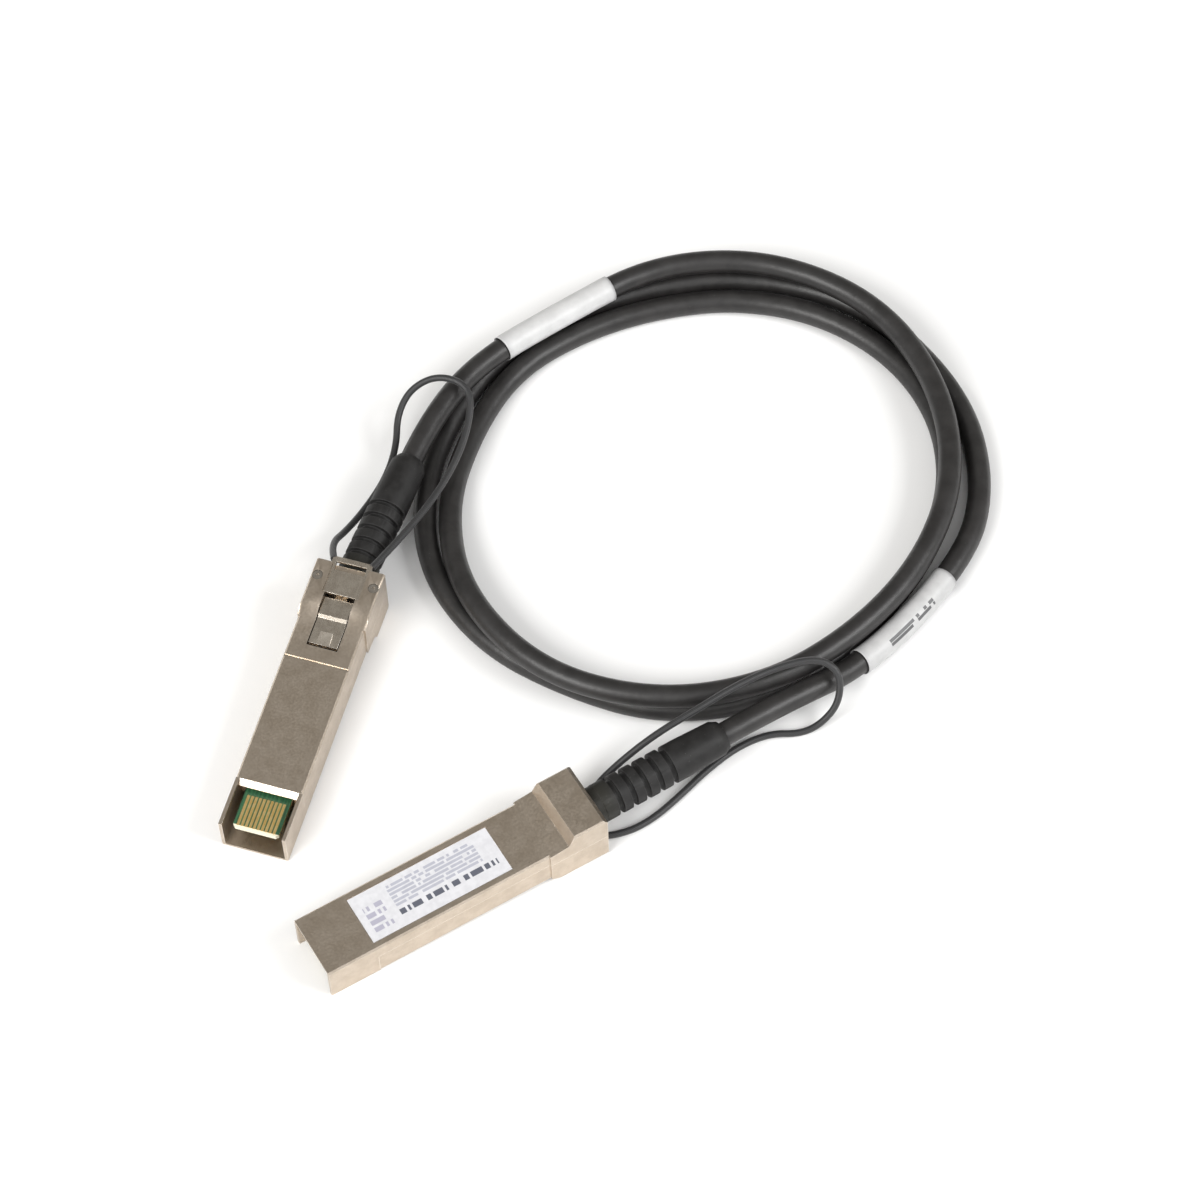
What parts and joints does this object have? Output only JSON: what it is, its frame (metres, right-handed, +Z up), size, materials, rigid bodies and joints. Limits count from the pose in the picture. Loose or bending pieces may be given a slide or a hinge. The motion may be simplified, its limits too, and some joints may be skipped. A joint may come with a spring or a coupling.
{
  "type": "direct attach network cable",
  "caption": "Coiled black copper cable with a latching metal plug, ribbed boot and pull lanyard at each end, for joining network ports.",
  "frame": {"origin": "on the table, below the middle of the box round the two plugs and their boots", "axes": "+X to the right and +Y away as seen from the front of the plugs, +Z up"},
  "size_m": [0.1511, 0.1695, 0.0141],
  "materials": {
    "shell": "satin plated die casting",
    "card": "solder mask",
    "contact": "gold plate",
    "wire": "foil and film wrap",
    "stamping": "plated stamping",
    "spring": "bright strip",
    "screw": "plated",
    "ferrule": "crimped tube",
    "boot": "matte moulding",
    "cable": "satin jacket",
    "lanyard": "smooth cord",
    "label": "coated"
  },
  "bodies": {
    "cable_assembly": {"upper_shell_a": "shell", "lower_shell_a": "shell", "paddle_card_a": "card", "edge_contacts_a": "contact", "wire_pairs_a": "wire", "latch_spring_a": "spring", "shell_screws_a": "screw", "crimp_ferrule_a": "ferrule", "boot_a": "boot", "cable_end_a": "cable", "latch_pin_a": "screw", "upper_shell_b": "shell", "lower_shell_b": "shell", "paddle_card_b": "card", "edge_contacts_b": "contact", "wire_pairs_b": "wire", "latch_spring_b": "spring", "shell_screws_b": "screw", "crimp_ferrule_b": "ferrule", "boot_b": "boot", "cable_end_b": "cable", "latch_pin_b": "screw", "plug_label_b": "label", "cable_lead_a": "cable", "cable_lead_b": "cable", "cable_coil": "cable", "cable_label_a": "label", "cable_label_b": "label"},
    "slider_a": {"release_slider_a": "stamping", "lanyard_a": "lanyard"},
    "rocker_a": {"latch_rocker_a": "stamping"},
    "slider_b": {"release_slider_b": "stamping", "lanyard_b": "lanyard"},
    "rocker_b": {"latch_rocker_b": "stamping"}
  },
  "joints": [
    {"name": "release_a", "type": "slide", "parent": "cable_assembly", "child": "slider_a", "axis": [0.2853, 0.957, 0.0529], "range_m": [0, 0.0014], "stiffness_N_per_m": 300},
    {"name": "latch_a", "type": "hinge", "parent": "cable_assembly", "child": "rocker_a", "pos_m": [-0.02821, 0.01868, 0.01063], "axis": [0.9583, -0.2857, 0], "range_deg": [0, 7], "deforming": ["latch_spring_a"]},
    {"name": "release_b", "type": "slide", "parent": "cable_assembly", "child": "slider_b", "axis": [0.8587, 0.5119, 0.026], "range_m": [0, 0.0014], "stiffness_N_per_m": 300},
    {"name": "latch_b", "type": "hinge", "parent": "cable_assembly", "child": "rocker_b", "pos_m": [0.01226, -0.02756, 0.00172], "axis": [-0.512, 0.859, 0], "range_deg": [0, 7], "deforming": ["latch_spring_b"]}
  ],
  "couplings": [
    {"joint": "latch_a", "follows": "release_a", "rad_per_m": 87.258},
    {"joint": "latch_b", "follows": "release_b", "rad_per_m": 87.258}
  ]
}
